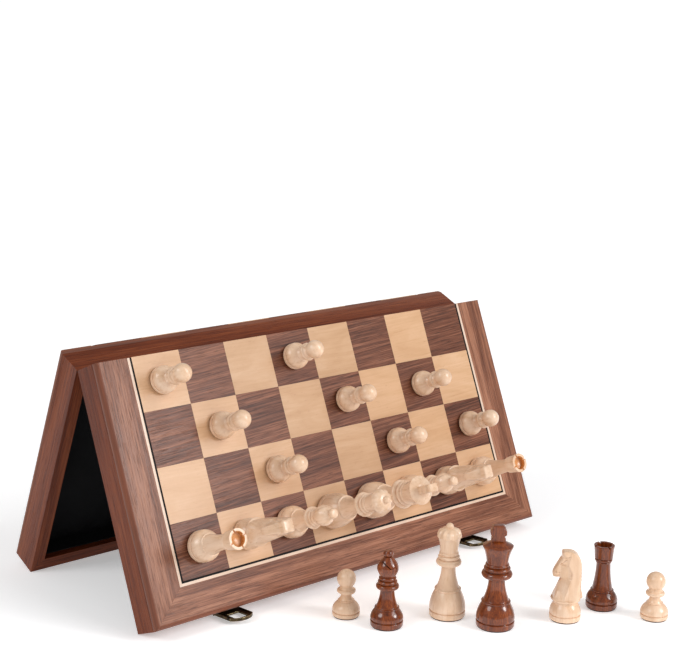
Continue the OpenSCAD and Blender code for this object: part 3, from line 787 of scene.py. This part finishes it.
def turn_outline(bm, outline, steps, top):
    """Revolves an outline round Z and closes it at the bottom and at the top."""
    rows = []
    for r, z in outline:
        rows.append([bm.verts.new((r * cos(2 * pi * i / steps), r * sin(2 * pi * i / steps), z))
                     for i in range(steps)])
    for low, high in zip(rows, rows[1:]):
        for i in range(steps):
            j = (i + 1) % steps
            bm.faces.new((low[i], low[j], high[j], high[i]))
    foot_centre = bm.verts.new((0, 0, outline[0][1]))
    top_centre = bm.verts.new((0, 0, top))
    for i in range(steps):
        j = (i + 1) % steps
        bm.faces.new((foot_centre, rows[0][j], rows[0][i]))
        bm.faces.new((top_centre, rows[-1][i], rows[-1][j]))


def new_object(name, mesh):
    helper = bpy.data.objects.new(name, mesh)
    SCENE.collection.objects.link(helper)
    return helper


def box_mesh(low, high, matrix):
    """A box between two corners, put in its place by a matrix."""
    bm = bmesh.new()
    bmesh.ops.create_cube(bm, size=1)
    for vert in bm.verts:
        share = vert.co + Vector((0.5, 0.5, 0.5))
        vert.co = matrix @ Vector([a + (b - a) * s for a, b, s in zip(low, high, share)])
    mesh = bpy.data.meshes.new("cutter")
    bm.to_mesh(mesh)
    bm.free()
    return mesh


def cut_away(mesh, cutters):
    """The mesh less the cutters."""
    body = new_object("cut_body", mesh)
    helpers = [new_object(f"cutter{i}", c) for i, c in enumerate(cutters)]
    for helper in helpers:
        modifier = body.modifiers.new("cut", "BOOLEAN")
        modifier.operation = "DIFFERENCE"
        modifier.solver = "EXACT"
        modifier.object = helper
    bpy.context.view_layer.update()
    depsgraph = bpy.context.evaluated_depsgraph_get()
    result = bpy.data.meshes.new_from_object(body.evaluated_get(depsgraph))
    for helper in [body] + helpers:
        bpy.data.objects.remove(helper)
    return result


def as_mesh(bm, name):
    bmesh.ops.recalc_face_normals(bm, faces=bm.faces)
    mesh = bpy.data.meshes.new(name)
    bm.to_mesh(mesh)
    bm.free()
    return mesh


def turned_mesh(kind, outline, top):
    bm = bmesh.new()
    turn_outline(bm, round_corners(outline), MEN_STEPS, top)
    return as_mesh(bm, kind)


def make_rook(r, h):
    """Two saw cuts across the hollow head make four notches."""
    mesh = turned_mesh("rook", rook(r, h), 0.905 * h)
    half_w = 0.06 * r
    low, high = (-h, -half_w, 0.975 * h), (h, half_w, 2 * h)
    cutters = [box_mesh(low, high, Matrix.Rotation(radians(turn), 4, "Z")) for turn in (20, 110)]
    return cut_away(mesh, cutters)


def make_bishop(r, h):
    """A slanting slit is sawn into one side of the mitre."""
    mesh = turned_mesh("bishop", bishop(r, h), h)
    place = Matrix.Translation((-0.16 * r, 0, 0.845 * h)) @ Matrix.Rotation(radians(36), 4, "Y")
    return cut_away(mesh, [box_mesh((-0.45 * r, -r, -0.35), (0.43 * r, -0.22 * r, 0.35), place)])


def make_queen(r, h):
    """The rim of the coronet is cut into scallops."""
    scallops = 10
    rim_low, rim_high, rim_inner = 0.845 * h, 0.94 * h, 0.35 * r
    bm = bmesh.new()
    turn_outline(bm, round_corners(queen(r, h)), 8 * scallops, h)
    for vert in bm.verts:
        reach = sqrt(vert.co.x ** 2 + vert.co.y ** 2)
        if not rim_low < vert.co.z < rim_high or reach < rim_inner:
            continue
        angle = atan2(vert.co.y, vert.co.x)
        dip = abs(cos(scallops / 2 * angle)) ** 1.5
        outer = min(1.0, (reach - rim_inner) / (0.28 * r))
        raised = min(1.0, (vert.co.z - rim_low) / (0.03 * h))
        vert.co.z -= 1.1 * dip * outer * raised
        vert.co.xy *= 1 - 0.07 * dip * outer * raised
    return as_mesh(bm, "queen")


def smooth_outline(points, n):
    """A closed Catmull-Rom curve through points."""
    result = []
    count = len(points)
    for i in range(count):
        p0, p1, p2, p3 = (Vector(points[(i + k - 1) % count]) for k in range(4))
        for step in range(n):
            t = step / n
            result.append(0.5 * (2 * p1 + (p2 - p0) * t + (2 * p0 - 5 * p1 + 4 * p2 - p3) * t * t
                                 + (3 * p1 - p0 - 3 * p2 + p3) * t ** 3))
    return result


def extrude_outline(outline, half_depth):
    """A closed outline in X and Z, given depth along Y."""
    bm = bmesh.new()
    sides = [[bm.verts.new((p[0], y, p[1])) for p in outline] for y in (-half_depth, half_depth)]
    bm.faces.new(sides[0])
    bm.faces.new(reversed(sides[1]))
    count = len(outline)
    for i in range(count):
        j = (i + 1) % count
        bm.faces.new((sides[0][i], sides[1][i], sides[1][j], sides[0][j]))
    return bm


# right side of the king's cross, from the neck up
CROSS_HEIGHT = 11.8
CROSS_SIDE = [(4.9, -0.3), (4.9, 2.8), (3.9, 4.1), (5.6, 5.2), (5.6, 8.4), (3.8, 9.5), (4.9, 10.5),
              (3.4, CROSS_HEIGHT)]


def make_king(r, h):
    """Body turned, and the cross sawn with broad arms and softened edges."""
    neck = KING_NECK * h
    bm = bmesh.new()
    turn_outline(bm, round_corners(king(r, h)), MEN_STEPS, neck)
    rise = (h - neck) / CROSS_HEIGHT
    outline = [(x * rise, neck + z * rise) for x, z in CROSS_SIDE]
    outline += [(-x * rise, neck + z * rise) for x, z in reversed(CROSS_SIDE)]
    cross = extrude_outline(outline, 3.0 * rise)
    bmesh.ops.recalc_face_normals(cross, faces=cross.faces)
    edges = [e for e in cross.edges if e.calc_face_angle(0) > radians(25)]
    bmesh.ops.bevel(cross, geom=edges, offset=0.45, segments=3, profile=0.5, affect="EDGES",
                    clamp_overlap=True)
    part = bpy.data.meshes.new("cross")
    cross.to_mesh(part)
    cross.free()
    bm.from_mesh(part)
    return as_mesh(bm, "king")


def step_up(value, low, high):
    """A smooth step from 0 at low to 1 at high."""
    t = np.clip((value - low) / (high - low), 0, 1)
    return t * t * (3 - 2 * t)


def distance_to(points, line):
    """Distance of each point to a polyline."""
    nearest = np.full(len(points), 1e9)
    corners = np.array([tuple(p) for p in line])
    for a, b in zip(corners, corners[1:]):
        ab = b - a
        t = np.clip(((points - a) @ ab) / max(ab @ ab, 1e-12), 0, 1)
        gap = points - a - t[:, None] * ab
        nearest = np.minimum(nearest, np.hypot(gap[:, 0], gap[:, 1]))
    return nearest


# the knight's head from the side, facing -X, and the line where the mane begins
HEAD_RADIUS = 11.25
HEAD_HEIGHT = 36.4
HEAD_DEPTH = 9.2            # half its thickness before carving
KNIGHT_SIDE = [
    (-9.6, 0), (-9.4, 1.2), (-8.3, 4.8), (-6.6, 9.8), (-5.0, 14.0), (-4.2, 16.1), (-5.6, 16.9), (-8.2, 16.9),
    (-9.9, 17.2), (-10.2, 18.4), (-10.1, 20.0), (-9.2, 22.5), (-7.9, 25.0), (-6.4, 27.6), (-5.2, 29.8),
    (-4.1, 31.4), (-3.95, 33.0), (-3.9, 34.9), (-3.2, 36.1), (-1.4, HEAD_HEIGHT), (1.2, 36.3), (4.0, 35.6),
    (6.7, 33.9), (8.7, 31.0), (9.9, 27.0), (10.4, 22.4), (10.5, 15.0), (10.45, 8.0), (10.4, 0)]
MANE_LINE = [(1.6, HEAD_HEIGHT), (1.5, 32.5), (0.4, 28.8), (0.2, 26.0), (1.8, 23.0), (3.0, 20.4),
             (2.6, 17.2), (-0.1, 8.0), (-2.6, 0.0)]


def line_x(line, z):
    """Where a line that falls with Z stands at each height."""
    return np.interp(z, [p[1] for p in reversed(line)], [p[0] for p in reversed(line)])


def knight_blank(outline, depth):
    """The sawn outline as a solid of small, even faces."""
    helper = new_object("knight_blank", as_mesh(extrude_outline(outline, depth), "knight_blank"))
    remesh = helper.modifiers.new("remesh", "REMESH")
    remesh.mode = "VOXEL"
    remesh.voxel_size = 0.36
    bpy.context.view_layer.update()
    mesh = bpy.data.meshes.new_from_object(helper.evaluated_get(bpy.context.evaluated_depsgraph_get()))
    bpy.data.objects.remove(helper)
    return mesh


def knight_head(r, h):
    """The head is sawn to a side outline, narrowed to the front, and carved."""
    seat = KNIGHT_SEAT * h
    steps = 4
    k = r / HEAD_RADIUS
    rise = (h - seat) / HEAD_HEIGHT
    outline = [Vector((x * k, seat + z * rise)) for x, z in smooth_outline(KNIGHT_SIDE, steps)[:-steps]]
    sunk = [outline[-1] - Vector((0, 1.2)), outline[0] - Vector((0, 1.2))]
    mesh = knight_blank(outline + sunk, HEAD_DEPTH * k)

    co = np.zeros(len(mesh.vertices) * 3)
    mesh.vertices.foreach_get("co", co)
    co = co.reshape(-1, 3)
    x, z = co[:, 0] / k, (co[:, 2] - seat) / rise
    share = np.clip(co[:, 1] / (HEAD_DEPTH * k), -1, 1)
    edge = distance_to(co[:, [0, 2]], outline) / k
    mane = line_x(MANE_LINE, z)

    # half widths: a turned blank, narrower upwards, with a sloped chest and a slim face
    width = np.interp(z, [0, 9, 17, 24, 30, HEAD_HEIGHT], [8.9, 7.9, 6.8, 6.0, 5.4, 4.6])
    width = np.minimum(width, np.sqrt(np.maximum(10.75 ** 2 - x ** 2, 1.0)))
    chest_x = np.interp(z, [0, 4.8, 9.8, 14, 16.1], [-9.9, -8.3, -6.6, -5.0, -4.2])
    chest = np.clip((x - chest_x) / np.maximum(mane - chest_x, 0.5), 0, 1)
    below_jaw = 1 - step_up(z, 15.9, 17.0)
    breast = np.interp(z, [0, 2.5, 7, 14], [7.0, 6.0, 3.6, 2.6])
    width = width * (1 - below_jaw) + below_jaw * np.minimum(width, breast + (width - breast) * chest)
    face = (1 - step_up(x - mane, -0.5, 0.3)) * (1 - below_jaw)
    slim = np.interp(x, [-10.2, -7.5, -4.0, 1.0], [2.7, 3.4, 4.1, 5.0])
    width = width * (1 - face) + np.minimum(width - 0.5, slim) * face
    rounding = np.sqrt(1 - (1 - np.clip(edge / 1.2, 0, 1)) ** 2)
    width = width * (0.72 + 0.28 * rounding)

    def spot(cx, cz, rx, rz):
        return np.exp(-(((x - cx) / rx) ** 2 + ((z - cz) / rz) ** 2))

    def line(points, half_w):
        return np.exp(-(distance_to(np.column_stack([x, z]), points) / half_w) ** 2)

    # carving, as heights out of the side faces
    carved = -0.55 * line([(-4.4, 31.3), (-1.4, 31.6), (1.4, 32.6)], 0.45)
    carved += 0.5 * spot(-1.4, 34.0, 2.2, 1.6)
    carved -= 0.9 * line([(-1.2, 30.2), (-5.2, 26.9)], 0.5) + 0.6 * line([(-5.2, 26.9), (-1.4, 25.9)], 0.4)
    carved += 0.6 * spot(-2.9, 27.6, 1.1, 0.9)
    carved += 0.55 * spot(-1.6, 21.5, 2.6, 2.6) - 0.35 * spot(-5.2, 23.6, 1.6, 1.6)
    carved += 0.5 * spot(-8.0, 20.2, 1.9, 1.6)
    carved -= 1.3 * spot(-8.6, 21.0, 0.5, 0.45) + 1.1 * spot(-5.9, 20.7, 0.5, 0.45)
    carved -= 0.6 * line([(-10.4, 18.4), (-7.4, 18.3), (-5.6, 18.9)], 0.35)
    engraved = below_jaw * step_up(chest, 0.12, 0.2) * (1 - step_up(chest, 0.86, 0.95)) * step_up(z, 0.3, 1.2)
    carved -= 0.32 * engraved * np.maximum(0, np.cos(2 * pi * chest * 6)) ** 2
    on_face = step_up(np.abs(share), 0.72, 0.95)
    co[:, 1] = (share * width + np.sign(share) * carved * on_face) * k
    # the forelock ends in a narrow fringe, and the back edge is scalloped
    ripple = step_up(x, 6.8, 9.5) * step_up(z, -1.0, 1.0) * (1 - step_up(z, 31, 34))
    co[:, 0] -= 0.06 * ripple * (1 + np.cos(2 * pi * z / 2.6))
    mesh.vertices.foreach_set("co", co.ravel())
    return mesh


def make_knight(r, h):
    """The turned pedestal with the carved head on it."""
    bm = bmesh.new()
    turn_outline(bm, round_corners(pedestal(r, h)), MEN_STEPS, KNIGHT_SEAT * h)
    head = knight_head(r, h)
    bm.from_mesh(head)
    bmesh.ops.smooth_vert(bm, verts=[v for v in bm.verts if v.co.z > 0.33 * h], factor=0.3, use_axis_x=True,
                          use_axis_y=True, use_axis_z=True)
    return as_mesh(bm, "knight")


def make_pawn(r, h):
    return turned_mesh("pawn", pawn(r, h), h)


MAKERS = {"pawn": make_pawn, "rook": make_rook, "bishop": make_bishop, "knight": make_knight,
          "queen": make_queen, "king": make_king}
patterns = {}


def pattern(kind, r, h):
    """The mesh of one kind of man in millimetres, foot on Z = 0 and made once."""
    if kind not in patterns:
        mesh = MAKERS[kind](r, h)
        mesh.shade_smooth()
        mesh.set_sharp_from_angle(angle=radians(50))
        patterns[kind] = mesh
    return patterns[kind]


FELT_BACK = 0.8     # from the edge of the base to the felt


def felt_pad(r):
    """A felt disc with a slightly rounded, uneven edge."""
    bm = bmesh.new()
    top = FELT_T - 0.04
    turn_outline(bm, [(r - 0.35, 0.0), (r - 0.08, 0.12), (r, 0.4), (r - 0.06, 0.75), (r - 0.2, top)], 72, top)
    for vert in bm.verts:
        if sqrt(vert.co.x ** 2 + vert.co.y ** 2) > r - 0.3:
            vert.co.xy *= 1 + 0.006 * noise.noise(Vector(vert.co) * 1.4)
    return as_mesh(bm, "felt_pad")


BASE_HEIGHT = 2.4 * MM  # a man's lowest points, which give its radius
STANDING_TURN = -41     # the standing men face the camera
BISHOP_TURN = 215       # so does the slit of a bishop on the front slope


def man_place(node):
    """Matrix of a man's foot, and its base radius and height in millimetres, from its CAD node."""
    axis = Vector(JOINTS[node + "_lift"]["axis"]).normalized()
    points = [v.co for v in NODES[node].data.vertices]
    heights = [p.dot(axis) for p in points]
    bottom, top = min(heights), max(heights)
    low = [p for p, z in zip(points, heights) if z < bottom + BASE_HEIGHT]
    x_axis = Vector((1, 0, 0))
    y_axis = axis.cross(x_axis)
    spans = [[p.dot(a) for p in low] for a in (x_axis, y_axis)]
    centre = x_axis * (max(spans[0]) + min(spans[0])) / 2 + y_axis * (max(spans[1]) + min(spans[1])) / 2
    centre += axis * bottom
    radius = (max(spans[0]) - min(spans[0])) / 2
    matrix = Matrix.Translation(centre) @ Matrix((x_axis, y_axis, axis)).transposed().to_4x4()
    turn = 0
    if "_standing" in node:
        turn = STANDING_TURN
    elif "bishop" in node:
        turn = BISHOP_TURN if node.startswith("light") else 180 - BISHOP_TURN
    matrix = matrix @ Matrix.Rotation(radians(turn), 4, "Z")
    return matrix, radius / MM, (top - bottom) / MM


def add_man(node):
    """One man: its wood and its felt. The magnet stays hidden inside."""
    colour, kind = node.split("_")[:2]
    matrix, r, h = man_place(node)
    mesh = pattern(kind, r, h).copy()
    mesh.name = node
    co = np.zeros(len(mesh.vertices) * 3)
    mesh.vertices.foreach_get("co", co)
    co = co.reshape(-1, 3) * MM
    mesh.vertices.foreach_set("co", co.ravel())
    turn = 2 * pi * draw_number("turn" + node)
    shift = np.array([draw_number(node), draw_number("x" + node), draw_number("y" + node)]) * 3
    across = co[:, 0] * cos(turn) - co[:, 1] * sin(turn)
    depth = co[:, 0] * sin(turn) + co[:, 1] * cos(turn)
    set_values(mesh, "grain", np.column_stack([co[:, 2], across, depth]) + shift, "FLOAT_VECTOR")
    set_values(mesh, "tone", np.full(len(co), 2 * draw_number("tone" + node) - 1))
    reach = np.hypot(co[:, 0], co[:, 1]) / MM
    hollow = (kind == "rook") & (reach < 0.47 * r) & (co[:, 2] / MM > 0.9 * h)
    set_values(mesh, "raw", hollow)
    wood = PALE if colour == "light" else STAINED
    put_piece(node + "_wood", mesh, node, wood, [node], matrix)
    pad = felt_pad(r - FELT_BACK)
    pad.transform(Matrix.Scale(MM, 4))
    set_values(pad, "grain", [v.co.copy() for v in pad.vertices], "FLOAT_VECTOR")
    pad.shade_smooth()
    put_piece(node + "_felt", pad, node, FELT, (), matrix)


for body in frame["bodies"]:
    if body + "_lift" in JOINTS:
        add_man(body)

# ---------- floor and light ----------

FLOOR_SIZE = 400
FLOOR_GLOW = 0.36
WORLD_STRENGTH = 0.4


def add_floor():
    """A pale floor that glows a little, so that it stays near white."""
    mesh = bpy.data.meshes.new("floor")
    corners = [(x * FLOOR_SIZE, y * FLOOR_SIZE, 0) for x, y in ((-1, -1), (1, -1), (1, 1), (-1, 1))]
    mesh.from_pydata(corners, [], [(0, 1, 2, 3)])
    piece = new_object("floor", mesh)
    p = Paint("pale_floor", roughness=0.7, specular=0.1)
    cloud = p.noise(p.add("TexCoord", {}).outputs["Object"], detail=2)
    p.put(p.shader.inputs["Emission Color"], (1, 1, 1, 1))
    p.put(p.shader.inputs["Emission Strength"], FLOOR_GLOW)
    mesh.materials.append(p.finish(p.ramp(cloud, (0.3, srgb(249, 249, 250)), (0.7, srgb(251, 251, 252)))))


def place_light(data, azimuth, elevation, distance, aim=(0, 0, 0)):
    """Azimuth 0 is in front of the set, towards -Y."""
    light = bpy.data.objects.new(data.name, data)
    SCENE.collection.objects.link(light)
    a, e = radians(azimuth), radians(elevation)
    back = Vector((sin(a) * cos(e), -cos(a) * cos(e), sin(e)))
    light.visible_camera = False
    light.location = Vector(aim) + back * distance
    light.rotation_mode = "QUATERNION"
    light.rotation_quaternion = (-back).to_track_quat("-Z", "Y")


def add_far_light(name, energy, azimuth, elevation, spread):
    data = bpy.data.lights.new(name, "SUN")
    data.energy = energy
    data.angle = radians(spread)
    place_light(data, azimuth, elevation, 3)


def add_near_light(name, energy, azimuth, elevation, distance, size, aim):
    """A small soft box; the left of the front face mirrors it, and the right doesn't."""
    data = bpy.data.lights.new(name, "AREA")
    data.shape = "DISK"
    data.energy = energy
    data.size = size
    place_light(data, azimuth, elevation, distance, aim)


def add_world():
    world = bpy.data.worlds.new("studio")
    world.use_nodes = True
    background = world.node_tree.nodes["Background"]
    background.inputs["Color"].default_value = (1, 1, 1, 1)
    background.inputs["Strength"].default_value = WORLD_STRENGTH
    SCENE.world = world


add_floor()
add_world()
add_far_light("box_right", energy=1.0, azimuth=26, elevation=38, spread=30)
add_far_light("box_left", energy=0.9, azimuth=-100, elevation=37, spread=26)
add_near_light("box_near", energy=4.8, azimuth=34, elevation=22, distance=1.3, size=0.4,
               aim=(-0.18, -0.1, 0.1))
SCENE.view_settings.view_transform = "Standard"
